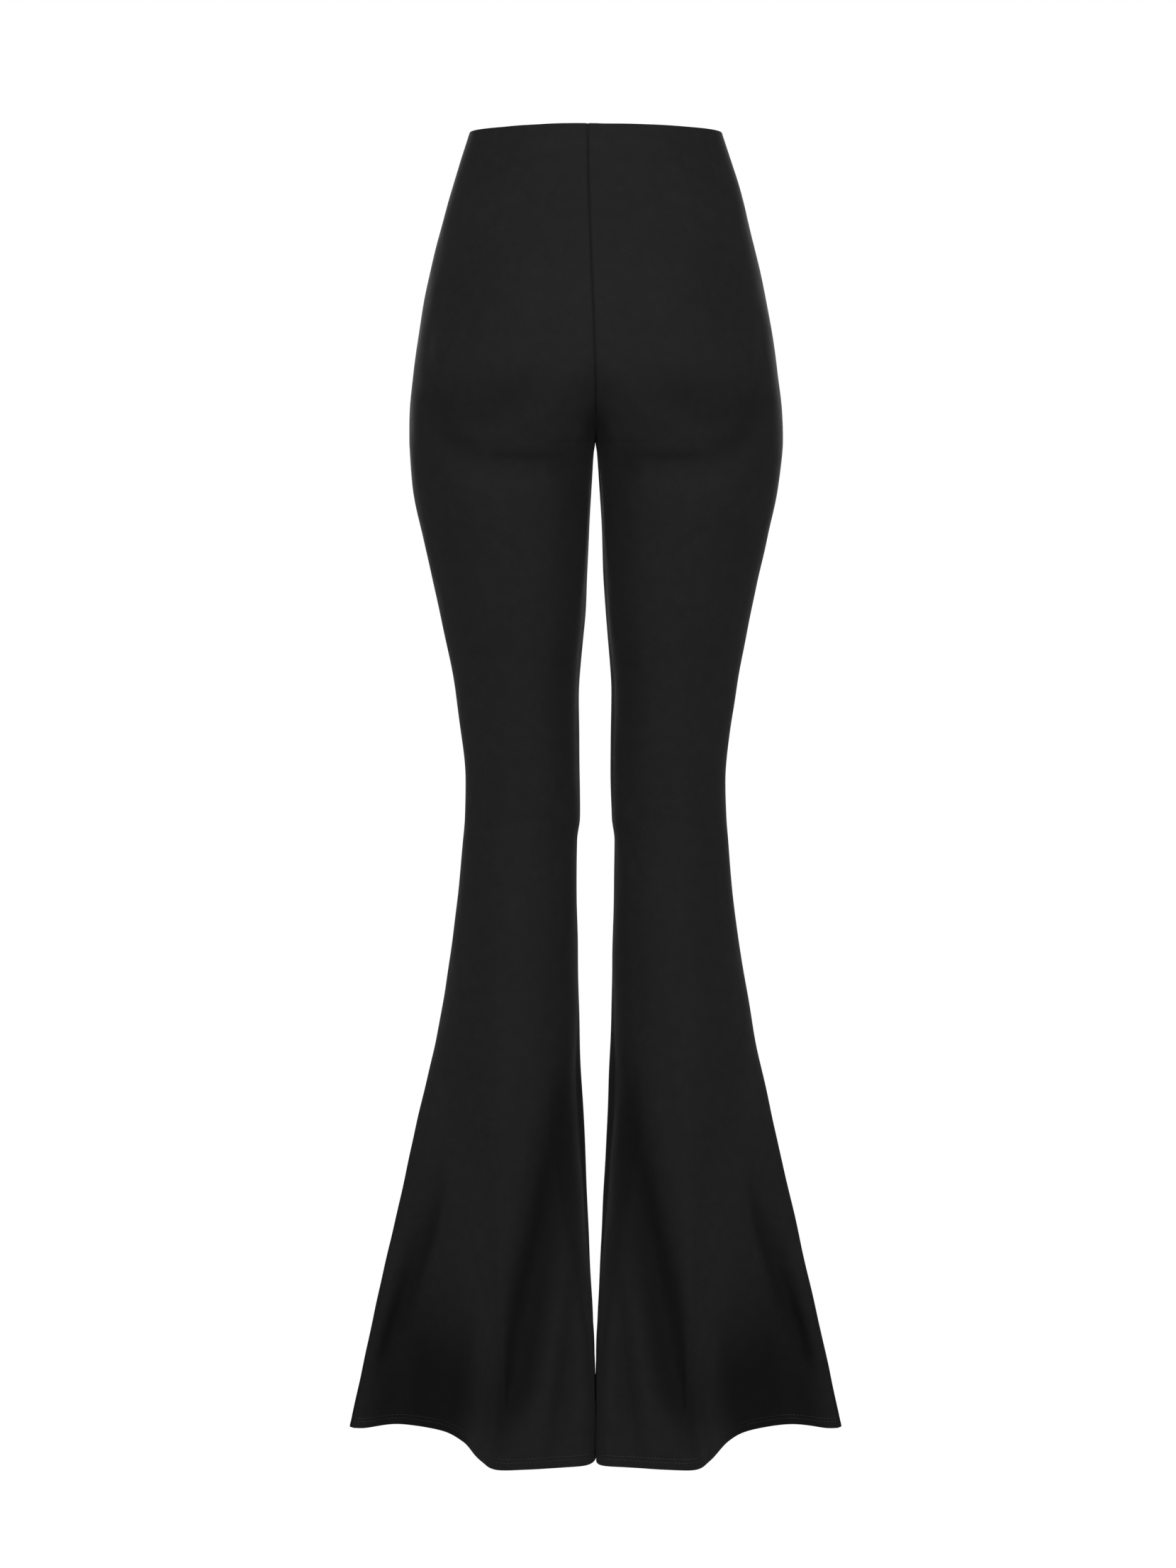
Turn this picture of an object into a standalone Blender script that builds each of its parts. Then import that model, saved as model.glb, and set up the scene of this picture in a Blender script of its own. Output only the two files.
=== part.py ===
"""High-waisted flared trousers in black stretch cloth, as they are worn, hollow, with nobody in them.

They are cut in four pieces, a left and a right back and a left and a right front, each in one piece from
the waist to the hem. Each piece is a wall of cloth lofted through level sections of the worn garment. The
waist edge and the hems are turned in, which makes the wall thicker there.

Frame: metres, +Z up, the origin in the middle of the waist opening and level with its edge. The back faces
-Y and +X is the wearer's right. A height is given as a drop: the distance below the waist edge.
"""

import math
from collections import namedtuple

import bmesh
import bpy
import numpy as np

# Cloth
CLOTH_THICKNESS = 0.0016
TURNED_THICKNESS = 0.0028
WAIST_TURN = 0.0165
HEM_TURN = 0.012
TURN_STEP = 0.0006
SEAM_GAP = 0.0003

# Heights, as drops below the waist edge
CROTCH_DROP = 0.264
HEM_DROP = 1.130

# The crotch seam's curve: how far above the crotch each centre seam starts to turn under
BACK_TURN_UNDER = 0.078
FRONT_TURN_UNDER = 0.060
TURN_UNDER_EASE = 1.6
LEAST_PINCH = 0.001
LEVEL = 1e-6
SLOPE_PROBE = 0.0004

# The flare: below the first drop the round leg starts to fold into the flutes that the hem has in full
FLUTES_START = 0.66
FLUTES_EASE = 1.25

# Small departures from level edges and upright seams
WAIST_SIDE_DIP = 0.0019
WAIST_DIP_REACH = 0.06
HEM_BACK_DIP = 0.008
HEM_FRONT_RISE = 0.004
HEM_SLOPE_START = 0.85
HEM_SLOPE_REACH = 0.105
SEAM_LEAN = 0.0068
SEAM_LEAN_REACH = 0.085
SEAM_LEAN_END = 0.25
SEAM_LEAN_BEHIND = 0.03

# A row for each level section of the right half: outer and gap are distances from the middle plane to the
# side seam and to the inseam, back and front are how far the section reaches behind and before the middle,
# middle is where its side seam and inseam lie, and lobe is where across it the section is fullest.
# The last two are the roundness of its outer and its inner corners: 2 is an ellipse, more is squarer.
Section = namedtuple("Section", "drop outer gap back front middle lobe outer_round inner_round")
SECTIONS = (
    Section(0.000, 0.1075, 0.0000, 0.0750, 0.0870, 0.000, 0.20, 2.00, 3.0),
    Section(0.046, 0.1220, 0.0000, 0.0870, 0.0935, 0.000, 0.20, 2.05, 3.0),
    Section(0.106, 0.1376, 0.0000, 0.1060, 0.0960, 0.000, 0.22, 2.10, 3.0),
    Section(0.160, 0.1491, 0.0000, 0.1205, 0.0930, 0.000, 0.27, 2.15, 3.0),
    Section(0.205, 0.1560, 0.0000, 0.1255, 0.0885, -0.001, 0.34, 2.20, 3.0),
    Section(0.240, 0.1595, 0.0000, 0.1195, 0.0850, -0.003, 0.41, 2.20, 3.2),
    Section(0.264, 0.1600, 0.0004, 0.1105, 0.0835, -0.004, 0.46, 2.20, 3.2),
    Section(0.275, 0.1595, 0.0015, 0.1075, 0.0830, -0.005, 0.48, 2.20, 3.1),
    Section(0.300, 0.1571, 0.0032, 0.1020, 0.0830, -0.005, 0.49, 2.20, 2.9),
    Section(0.348, 0.1479, 0.0053, 0.0930, 0.0815, -0.005, 0.50, 2.15, 2.6),
    Section(0.409, 0.1344, 0.0089, 0.0815, 0.0785, -0.003, 0.50, 2.10, 2.4),
    Section(0.483, 0.1209, 0.0141, 0.0670, 0.0720, 0.001, 0.50, 2.10, 2.2),
    Section(0.557, 0.1134, 0.0133, 0.0550, 0.0640, 0.004, 0.50, 2.10, 2.1),
    Section(0.594, 0.1141, 0.0148, 0.0540, 0.0600, 0.003, 0.50, 2.10, 2.1),
    Section(0.631, 0.1168, 0.0162, 0.0570, 0.0580, 0.001, 0.50, 2.10, 2.1),
    Section(0.681, 0.1222, 0.0159, 0.0640, 0.0600, 0.000, 0.50, 2.10, 2.1),
    Section(0.781, 0.1391, 0.0133, 0.0770, 0.0690, -0.001, 0.50, 2.00, 2.1),
    Section(0.881, 0.1615, 0.0091, 0.0880, 0.0780, -0.001, 0.50, 2.00, 2.1),
    Section(0.982, 0.1847, 0.0047, 0.0980, 0.0870, -0.001, 0.50, 2.00, 2.1),
    Section(1.078, 0.2059, 0.0004, 0.1070, 0.0950, -0.001, 0.50, 2.00, 2.1),
    Section(1.130, 0.2168, 0.0002, 0.1110, 0.0990, -0.001, 0.50, 2.00, 2.1),
)

# The hem seen from below, as the points where its edge turns: across runs from the inseam, 0, to the side
# seam, 1, and depth is the share of the section's reach behind or before its middle. Each run starts at the
# side seam and ends at the inseam, and its fullest point is where the two quarters of the piece meet.
Turn = namedtuple("Turn", "across depth fullest")
BACK_HEM = (
    Turn(1.000, 0.000, False),
    Turn(0.940, 0.050, False),
    Turn(0.800, -0.060, False),
    Turn(0.650, 0.090, False),
    Turn(0.535, 0.370, False),
    Turn(0.460, 0.760, False),
    Turn(0.395, 0.990, True),
    Turn(0.270, 0.985, False),
    Turn(0.130, 0.930, False),
    Turn(0.012, 0.840, False),
    Turn(0.000, 0.500, False),
    Turn(0.000, 0.000, False),
)
FRONT_HEM = (
    Turn(1.000, 0.000, False),
    Turn(0.940, 0.170, False),
    Turn(0.810, 0.330, False),
    Turn(0.700, 0.560, False),
    Turn(0.610, 0.900, False),
    Turn(0.500, 1.000, True),
    Turn(0.380, 0.860, False),
    Turn(0.270, 0.680, False),
    Turn(0.150, 0.740, False),
    Turn(0.030, 0.700, False),
    Turn(0.000, 0.400, False),
    Turn(0.000, 0.000, False),
)

# Soft troughs that run down a piece, a row for each: where each starts and ends, its half width and depth
DownFold = namedtuple("DownFold", "back top_drop top_across end_drop end_across half_width depth")
DOWN_FOLDS = (
    DownFold(True, 0.78, 0.06, 1.13, 0.39, 0.015, 0.0055),
    DownFold(True, 0.92, 0.04, 1.13, 0.15, 0.012, 0.0030),
    DownFold(True, 0.84, 0.74, 1.07, 0.84, 0.018, 0.0040),
    DownFold(False, 0.80, 0.86, 1.13, 0.72, 0.016, 0.0045),
    DownFold(False, 0.82, 0.10, 1.13, 0.25, 0.015, 0.0050),
)
FOLD_RISE = 0.10
FOLD_FADE = 0.04
FOLD_CLEAR_OF_SEAM = 0.025

# Soft troughs that run across a piece in a bow, lowest in the middle: the fold under the seat
CrossFold = namedtuple("CrossFold", "back drop across inner_rise outer_rise half_height depth")
CROSS_FOLDS = (CrossFold(True, 0.277, 0.42, 0.014, 0.034, 0.009, 0.0030),)
CROSS_FOLD_FADE = 0.4

# Rows of faces down a piece: runs of rows, each eased towards its end by the power given
RowRun = namedtuple("RowRun", "end_drop rows ease")
ROW_RUNS = (
    RowRun(WAIST_TURN, 1, 1.0),
    RowRun(WAIST_TURN + TURN_STEP, 1, 1.0),
    RowRun(0.170, 6, 1.0),
    RowRun(CROTCH_DROP, 8, 0.6),
    RowRun(0.320, 4, 1.6),
    RowRun(0.620, 8, 1.0),
    RowRun(HEM_DROP - HEM_TURN - TURN_STEP, 14, 0.9),
    RowRun(HEM_DROP - HEM_TURN, 1, 1.0),
    RowRun(HEM_DROP, 1, 1.0),
)

# Points along each quarter of a section, and how many of them a column of faces spans
QUARTER_POINTS = 40
OUTER_COLUMN_SPAN = 4
INNER_COLUMN_SPAN = 5
HEM_TURN_POINTS = 12

# Colours and finish of the cloth
CLOTH_COLOUR = (0.0152, 0.0152, 0.0156, 1.0)
CLOTH_ROUGHNESS = 0.75
SHARP_ANGLE = 40.0
COLLECTION_NAME = "flared_trousers"


def smooth_step(value):
    """0 below 0, 1 above 1 and a soft rise between."""
    share = np.clip(value, 0.0, 1.0)
    return share * share * (3.0 - 2.0 * share)


def smooth_row(rows, drop):
    """The values of a table's row at this drop, on a smooth curve through the rows that never overshoots."""
    table = np.array(rows, dtype=float)
    drops = table[:, 0]
    steps = np.diff(drops)[:, None]
    slopes = np.diff(table, axis=0) / steps
    same_way = slopes[:-1] * slopes[1:] > 0
    total = np.where(same_way, slopes[:-1] + slopes[1:], 1.0)
    inner = np.where(same_way, 2.0 * slopes[:-1] * slopes[1:] / total, 0.0)
    tangents = np.vstack([slopes[:1], inner, slopes[-1:]])
    place = int(np.clip(np.searchsorted(drops, drop) - 1, 0, len(drops) - 2))
    span = steps[place]
    share = (drop - drops[place]) / span
    start, end = table[place], table[place + 1]
    rise = tangents[place] * span
    fall = tangents[place + 1] * span
    cubic = 2 * start - 2 * end + rise + fall
    square = -3 * start + 3 * end - 2 * rise - fall
    return ((cubic * share + square) * share + rise) * share + start


def section_at(drop):
    """The named sizes of the level section at this drop."""
    return Section(*smooth_row(SECTIONS, drop))


def even_points(points, count):
    """The same line through count + 1 points at even distances."""
    lengths = np.hypot(*np.diff(points, axis=0).T)
    along = np.concatenate([[0.0], np.cumsum(lengths)])
    wanted = np.linspace(0.0, along[-1], count + 1)
    return np.column_stack([np.interp(wanted, along, points[:, axis]) for axis in (0, 1)])


def pinch_at(drop, turn_under):
    """How far the section closes round the inner leg: 0 across the seat, 1 at the crotch and below."""
    height = (CROTCH_DROP - drop) / turn_under
    if height <= 0.0:
        return 1.0
    return max(1.0 - min(height, 1.0) ** TURN_UNDER_EASE, LEAST_PINCH)


def round_quarters(section, back):
    """The outer and the inner quarter of a round section, from the side seam to the centre seam or inseam."""
    gap = section.gap if section.drop >= CROTCH_DROP - LEVEL else 0.0
    fullest = gap + section.lobe * (section.outer - gap)
    reach = section.back + section.middle if back else section.front - section.middle
    side = -1.0 if back else 1.0
    turn_under = BACK_TURN_UNDER if back else FRONT_TURN_UNDER
    angle = np.linspace(0.0, math.pi / 2, 2 * QUARTER_POINTS + 1)
    power = 2.0 / section.outer_round
    outer = np.column_stack(
        [
            fullest + (section.outer - fullest) * np.cos(angle).clip(0.0) ** power,
            section.middle + side * reach * np.sin(angle) ** power,
        ]
    )
    pinch = pinch_at(section.drop, turn_under)
    power = 2.0 / section.inner_round
    angle = np.linspace(0.0, math.asin(pinch ** (1.0 / power)), 4 * QUARTER_POINTS + 1)
    closing = np.sin(angle) ** power
    inner = np.column_stack(
        [
            fullest - (fullest - gap) * closing / pinch,
            section.middle + side * reach * np.cos(angle).clip(0.0) ** power,
        ]
    )
    return outer, inner


def smooth_loop(points, steps):
    """A closed smooth line through the points, with this many steps between each two."""
    share = np.linspace(0.0, 1.0, steps, endpoint=False)[:, None]
    before, here = np.roll(points, 1, axis=0), points
    after, beyond = np.roll(points, -1, axis=0), np.roll(points, -2, axis=0)
    parts = []
    for a, b, c, d in zip(before, here, after, beyond):
        line = b + 0.5 * share * (
            c - a + share * (2 * a - 5 * b + 4 * c - d + share * (3 * (b - c) + d - a))
        )
        parts.append(line)
    return np.vstack(parts)


def fluted_quarters():
    """The hem's four quarters in shares of the section's width and reach, keyed by (back, inner)."""
    front = [(turn.across, turn.depth) for turn in FRONT_HEM]
    back = [(turn.across, -turn.depth) for turn in BACK_HEM]
    loop = np.array(back + front[-2:0:-1])
    line = smooth_loop(loop, HEM_TURN_POINTS)
    line = np.vstack([line, line[:1]])
    inseam = (len(BACK_HEM) - 1) * HEM_TURN_POINTS
    back_full = [turn.fullest for turn in BACK_HEM].index(True) * HEM_TURN_POINTS
    front_full = len(line) - 1 - [turn.fullest for turn in FRONT_HEM].index(True) * HEM_TURN_POINTS
    return {
        (True, False): line[: back_full + 1],
        (True, True): line[back_full : inseam + 1],
        (False, False): line[front_full:][::-1],
        (False, True): line[inseam : front_full + 1][::-1],
    }


FLUTED = fluted_quarters()


def flute_share(drop):
    """How far the flare has folded from a round leg, 0, to the hem's flutes, 1."""
    down = (drop - FLUTES_START) / (HEM_DROP - FLUTES_START)
    return float(smooth_step(max(down, 0.0) ** FLUTES_EASE))


def half_section(drop):
    """The right half's section, from its front end round the side seam to its back end."""
    section = section_at(drop)
    folded = flute_share(drop)
    runs = {}
    for back in (True, False):
        reach = section.back + section.middle if back else section.front - section.middle
        for inner, line in enumerate(round_quarters(section, back)):
            quarter = even_points(line, QUARTER_POINTS)
            if folded > 0.0:
                plan = FLUTED[back, bool(inner)]
                across = section.gap + plan[:, 0].clip(0.0, 1.0) * (section.outer - section.gap)
                depth = section.middle + plan[:, 1] * reach
                flute = even_points(np.column_stack([across, depth]), QUARTER_POINTS)
                quarter = (1.0 - folded) * quarter + folded * flute
            runs[back, bool(inner)] = quarter
    front = np.vstack([runs[False, True][::-1], runs[False, False][::-1][1:]])
    line = np.vstack([front, runs[True, False][1:], runs[True, True][1:]])
    return fold_cloth(line, section)


def fold_cloth(line, section):
    """Presses the troughs into a section's line, clear of the side seam and the inseam."""
    width = section.outer - section.gap
    across = (line[:, 0] - section.gap) / width
    behind = np.arange(len(line)) >= len(line) // 2
    along = np.concatenate([[0.0], np.cumsum(np.hypot(*np.diff(line, axis=0).T))])
    from_seam = np.minimum(np.abs(along - along[len(line) // 2]), np.minimum(along, along[-1] - along))
    clear = smooth_step(from_seam / FOLD_CLEAR_OF_SEAM)
    moved = line.copy()
    for fold in DOWN_FOLDS:
        down = (section.drop - fold.top_drop) / (fold.end_drop - fold.top_drop)
        centre = fold.top_across + (fold.end_across - fold.top_across) * down
        strength = smooth_step((section.drop - fold.top_drop) / FOLD_RISE)
        strength *= 1.0 - smooth_step((section.drop - fold.end_drop) / FOLD_FADE)
        trough = np.exp(-(((across - centre) * width / fold.half_width) ** 2))
        inward = 1.0 if fold.back else -1.0
        moved[:, 1] += inward * fold.depth * strength * clear * trough * (behind == fold.back)
    for fold in CROSS_FOLDS:
        away = across - fold.across
        rise = np.where(away < 0, fold.inner_rise, fold.outer_rise)
        reach = np.where(away < 0, fold.across, 1.0 - fold.across)
        path = fold.drop - rise * (away / reach) ** 2
        trough = np.exp(-(((section.drop - path) / fold.half_height) ** 2))
        strength = smooth_step((1.0 - np.abs(away) / reach) / CROSS_FOLD_FADE)
        inward = 1.0 if fold.back else -1.0
        moved[:, 1] += inward * fold.depth * strength * clear * trough * (behind == fold.back)
    return moved


def outward(line, closed):
    """Unit normals of a section's line in its own plane, pointing out of the cloth."""
    steps = np.diff(line, axis=0)
    steps /= np.hypot(*steps.T)[:, None]
    first, last = steps[:1], steps[-1:]
    if closed:
        first, last = steps[-1:], steps[:1]
    along = np.vstack([first, steps]) + np.vstack([steps, last])
    normals = np.column_stack([-along[:, 1], along[:, 0]])
    if not closed:
        # The two halves meet at the centre seams, so neither wall may lean across the middle plane.
        normals[[0, -1], 0] = np.minimum(normals[[0, -1], 0], 0.0)
    return normals / np.hypot(*normals.T)[:, None]


def offset_to(line, normals, other):
    """How far another section's line lies outside this one, measured along each normal."""
    start, step = other[:-1], np.diff(other, axis=0)
    away = line[:, None, :] - start[None, :, :]
    share = (away * step).sum(2) / (step * step).sum(1)
    nearest = start + np.clip(share, 0.0, 1.0)[:, :, None] * step
    gaps = nearest - line[:, None, :]
    best = np.argmin((gaps**2).sum(2), axis=1)
    return (gaps[np.arange(len(line)), best] * normals).sum(1)


def wall_thickness(drop):
    """The wall is double where the waist edge and the hem are turned in."""
    at_waist = drop <= WAIST_TURN + LEVEL
    at_hem = drop >= HEM_DROP - HEM_TURN - LEVEL
    return TURNED_THICKNESS if at_waist or at_hem else CLOTH_THICKNESS


def wall_row(drop):
    """Outer and inner points of the right half's wall at this drop, in 3D, from front end to back end."""
    closed = drop >= CROTCH_DROP - LEVEL
    line = half_section(drop)
    normals = outward(line, closed)
    above = max(drop - SLOPE_PROBE, 0.0)
    below = min(drop + SLOPE_PROBE, HEM_DROP)
    widening = offset_to(line, normals, half_section(above)) - offset_to(line, normals, half_section(below))
    slope = widening / (below - above)
    outer = np.column_stack([line, np.full(len(line), -drop)])
    facing = np.column_stack([normals, -slope])
    facing /= np.linalg.norm(facing, axis=1)[:, None]
    facing[:, 2] *= 1.0 - np.isclose(drop, (0.0, HEM_DROP)).any()
    inner = outer - facing * wall_thickness(drop)
    return outer, inner


def part_seams(points, drop):
    """Draws the two pieces apart at the side seam and the inseam, and both halves off the middle plane."""
    middle = len(points) // 2
    front, back = points[: middle + 1].copy(), points[middle:].copy()
    half = SEAM_GAP / 2
    front[-1] += half * unit(front[-2] - front[-1])
    back[0] += half * unit(back[1] - back[0])
    if drop >= CROTCH_DROP - LEVEL:
        front[0] += half * unit(front[1] - front[0])
        back[-1] += half * unit(back[-2] - back[-1])
    front[:, 0] += half
    back[:, 0] += half
    return front, back


def unit(vector):
    return vector / np.linalg.norm(vector)


def settle(points):
    """Moves points by the small departures from level edges and upright seams. Both halves share this."""
    x, y, z = points[..., 0], points[..., 1], points[..., 2]
    drop = -z
    dip = WAIST_SIDE_DIP * smooth_step(np.abs(x) / SECTIONS[0].outer) * smooth_step(1.0 - drop / WAIST_DIP_REACH)
    low = np.clip((drop - HEM_SLOPE_START) / (HEM_DROP - HEM_SLOPE_START), 0.0, 1.0) ** 2
    slope = HEM_BACK_DIP * smooth_step(-y / HEM_SLOPE_REACH) - HEM_FRONT_RISE * smooth_step(y / HEM_SLOPE_REACH)
    lean = -SEAM_LEAN * (1.0 - smooth_step(drop / SEAM_LEAN_END)) * smooth_step(-y / SEAM_LEAN_BEHIND)
    lean = lean * (1.0 - smooth_step(np.abs(x) / SEAM_LEAN_REACH))
    return np.stack([x + lean, y, z - dip - slope * low], axis=-1)


def row_drops():
    """The drops of all rows of points, from the waist to the hem."""
    drops = [0.0]
    for run in ROW_RUNS:
        start = drops[-1]
        for step in range(1, run.rows + 1):
            drops.append(start + (run.end_drop - start) * (step / run.rows) ** run.ease)
    return drops


def piece_columns():
    """Places along a piece's section, from the side seam inwards, where its columns of faces meet."""
    outer = range(0, QUARTER_POINTS, OUTER_COLUMN_SPAN)
    inner = range(QUARTER_POINTS, 2 * QUARTER_POINTS + 1, INNER_COLUMN_SPAN)
    return [*outer, *inner]


def cloth_sheets():
    """Outer and inner sheets of points of the right front and the right back, each rows by columns."""
    columns = piece_columns()
    sheets = {"front": ([], []), "back": ([], [])}
    for drop in row_drops():
        for layer, points in enumerate(wall_row(drop)):
            front, back = part_seams(points, drop)
            sheets["front"][layer].append(front[::-1][columns])
            sheets["back"][layer].append(back[columns])
    return {name: tuple(np.array(layer) for layer in layers) for name, layers in sheets.items()}


def add_sheet(mesh, points):
    """Adds a grid of faces to the mesh and moves its points to the sheet's."""
    rows, columns = points.shape[:2]
    made = bmesh.ops.create_grid(mesh, x_segments=columns - 1, y_segments=rows - 1, size=1.0)
    for vertex, point in zip(made["verts"], points.reshape(-1, 3)):
        vertex.co = point


def cloth_piece(name, outer, inner, material, collection):
    """One cut piece as a closed wall: its outer and inner sheets, joined round their edges."""
    mesh = bmesh.new()
    add_sheet(mesh, outer)
    add_sheet(mesh, inner)
    bmesh.ops.triangulate(mesh, faces=mesh.faces, quad_method="SHORT_EDGE")
    rim = [edge for edge in mesh.edges if edge.is_boundary]
    bmesh.ops.bridge_loops(mesh, edges=rim)
    bmesh.ops.recalc_face_normals(mesh, faces=mesh.faces)
    data = bpy.data.meshes.new(name)
    mesh.to_mesh(data)
    mesh.free()
    data.shade_smooth()
    data.set_sharp_from_angle(angle=math.radians(SHARP_ANGLE))
    data.materials.append(material)
    piece = bpy.data.objects.new(name, data)
    collection.objects.link(piece)
    return piece


def cloth_material(name):
    """Black stretch cloth with a dull face."""
    material = bpy.data.materials.new(name)
    material.use_nodes = True
    shader = material.node_tree.nodes["Principled BSDF"]
    shader.inputs["Base Color"].default_value = CLOTH_COLOUR
    shader.inputs["Roughness"].default_value = CLOTH_ROUGHNESS
    shader.inputs["Metallic"].default_value = 0.0
    return material


def clear_scene():
    for old in list(bpy.data.objects):
        bpy.data.objects.remove(old, do_unlink=True)


def main():
    clear_scene()
    collection = bpy.data.collections.new(COLLECTION_NAME)
    bpy.context.scene.collection.children.link(collection)
    for part, layers in cloth_sheets().items():
        for side, across in (("right", 1.0), ("left", -1.0)):
            name = f"{part}_{side}"
            outer, inner = (settle(layer * (across, 1.0, 1.0)) for layer in layers)
            cloth_piece(name, outer, inner, cloth_material(name + "_cloth"), collection)


if __name__ == "__main__":
    main()
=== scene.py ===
"""Looks of high-waisted flared trousers in black stretch crepe jersey, worn by nobody and seen from behind.

The cloth is four cut pieces, a back and a front for each half. Each piece is a thin shell on the lines of
level sections, with its folds pressed in, its seam edges rolled into the seams, and its waist edge and hem
turned in and rounded. Two rows of stitches hold each hem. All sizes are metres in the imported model's frame:
+Z up, the origin in the middle of the waist opening, the back facing -Y and +X on the wearer's right.
"""

from __future__ import annotations

import logging
import math
from dataclasses import dataclass
from enum import Enum
from functools import cached_property, reduce
from typing import NamedTuple

import bmesh
import bpy
import numpy as np
from mathutils import Matrix, Vector

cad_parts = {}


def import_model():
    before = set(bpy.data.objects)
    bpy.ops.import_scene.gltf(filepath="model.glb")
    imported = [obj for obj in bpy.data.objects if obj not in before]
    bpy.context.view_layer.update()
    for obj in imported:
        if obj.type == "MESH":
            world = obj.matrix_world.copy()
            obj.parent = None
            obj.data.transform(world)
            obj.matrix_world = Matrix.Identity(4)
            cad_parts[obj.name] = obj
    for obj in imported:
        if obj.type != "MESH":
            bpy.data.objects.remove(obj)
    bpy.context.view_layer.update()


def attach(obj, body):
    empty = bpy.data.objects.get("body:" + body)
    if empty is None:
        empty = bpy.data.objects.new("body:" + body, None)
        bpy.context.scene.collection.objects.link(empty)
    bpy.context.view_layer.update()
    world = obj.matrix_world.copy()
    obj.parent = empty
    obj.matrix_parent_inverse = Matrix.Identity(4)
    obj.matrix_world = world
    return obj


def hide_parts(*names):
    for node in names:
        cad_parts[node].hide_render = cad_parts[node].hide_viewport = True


Triple = tuple[float, float, float]
Inputs = dict[str | int, object]
Socket = bpy.types.NodeSocket

LOG = logging.getLogger("flared_trousers")
BODY = "root"
UV_NAME = "cloth"
PLACE_NAME = "cloth_place"
# The vertex attribute that carries how much painted shade lies on each point of the cloth.
PAINTED_SHADE_NAME = "cloth_folded"
WHITE = (1.0, 1.0, 1.0, 1.0)
WELD = 1e-6


class Side(Enum):
    """The half of the trousers, by the sign of x on it."""

    RIGHT = 1.0
    LEFT = -1.0


class Face(Enum):
    """The face of the trousers that a cut piece makes."""

    BACK = "back"
    FRONT = "front"


class Section(NamedTuple):
    """A level section of the right half.

    drop is its distance below the waist edge. outer and gap are the distances from the middle plane to the
    side seam and to the inseam. back and front are its reach behind and before the origin, middle is where
    the two seams lie, and lobe is where across it the section is fullest. The last two are the roundness of
    its outer and inner corners: 2 is an ellipse, more is squarer.
    """

    drop: float
    outer: float
    gap: float
    back: float
    front: float
    middle: float
    lobe: float
    outer_round: float
    inner_round: float


class Turn(NamedTuple):
    """A point where the hem's edge turns, in shares of the section's width and of its reach."""

    across: float
    depth: float
    fullest: bool = False


class DownFold(NamedTuple):
    """A soft trough that runs down a piece, or a ridge where its depth is below 0.

    It starts at top_drop, top_across of the section's width from the inseam, and its line goes on to
    end_drop, end_across. bow carries its middle sideways. It deepens over rise and, past its end, dies away
    over fade.
    """

    face: Face
    top_drop: float
    top_across: float
    end_drop: float
    end_across: float
    bow: float
    top_width: float
    end_width: float
    depth: float
    rise: float
    fade: float


class CrossFold(NamedTuple):
    """A soft trough that runs across a piece in a bow, or a ridge where its depth is below 0.

    It lies between two shares of the section's width, and its line is at drop at lowest_across and higher by
    inner_rise and outer_rise at its ends. low_side is how much wider it is below that line than above.
    """

    face: Face
    drop: float
    lowest_across: float
    inner_end: float
    outer_end: float
    inner_rise: float
    outer_rise: float
    half_height: float
    low_side: float
    depth: float


class Ripple(NamedTuple):
    """A wave of the whole cloth: its length along x, y and z, its phase and its height."""

    x_length: float
    y_length: float
    z_length: float
    phase: float
    height: float


class RowRun(NamedTuple):
    """A run of rows down a piece: where it ends, how many rows it has, and how they crowd towards its end."""

    end_drop: float
    rows: int
    ease: float = 1.0


class Mottle(NamedTuple):
    """A layer of the cloth's mottle: how fine it is, its noise's detail, and its share of the whole."""

    scale: float
    detail: float
    share: float


class Cut(NamedTuple):
    """The size to which a piece is cut flat, with its seam allowances and turnings."""

    width: float
    length: float
    area: float


def smooth_step(value: np.ndarray | float) -> np.ndarray | float:
    """Rises softly from 0, where the value is below 0, to 1, where it is above 1."""
    share = np.clip(value, 0.0, 1.0)
    return share * share * (3.0 - 2.0 * share)


def smooth_row(rows: tuple[NamedTuple, ...], place: float) -> np.ndarray:
    """Reads a table between its rows, on a smooth curve that never overshoots them.

    Args:
        rows: The table, sorted by its first column.
        place: The value of the first column to read at.

    Returns:
        One value for each column.
    """
    table = np.array(rows, dtype=float)
    places = table[:, 0]
    slopes = np.diff(table, axis=0) / np.diff(places)[:, None]
    same_way = slopes[:-1] * slopes[1:] > 0
    total = np.where(same_way, slopes[:-1] + slopes[1:], 1.0)
    inner = np.where(same_way, 2.0 * slopes[:-1] * slopes[1:] / total, 0.0)
    tangents = np.vstack([slopes[:1], inner, slopes[-1:]])
    row = int(np.clip(np.searchsorted(places, place) - 1, 0, len(places) - 2))
    span = places[row + 1] - places[row]
    share = (place - places[row]) / span
    start, end = table[row], table[row + 1]
    rise, fall = tangents[row] * span, tangents[row + 1] * span
    cubic = 2 * start - 2 * end + rise + fall
    square = -3 * start + 3 * end - 2 * rise - fall
    return ((cubic * share + square) * share + rise) * share + start


def line_lengths(line: np.ndarray) -> np.ndarray:
    """Distances along a line of points, from its start."""
    return np.concatenate([[0.0], np.cumsum(np.linalg.norm(np.diff(line, axis=0), axis=1))])


def points_at(line: np.ndarray, places: np.ndarray) -> np.ndarray:
    """The points of a line at these distances along it."""
    along = line_lengths(line)
    return np.column_stack([np.interp(places, along, line[:, axis]) for axis in range(line.shape[1])])


def even_points(line: np.ndarray, count: int) -> np.ndarray:
    """The same line through count + 1 points at even distances."""
    return points_at(line, np.linspace(0.0, line_lengths(line)[-1], count + 1))


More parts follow.
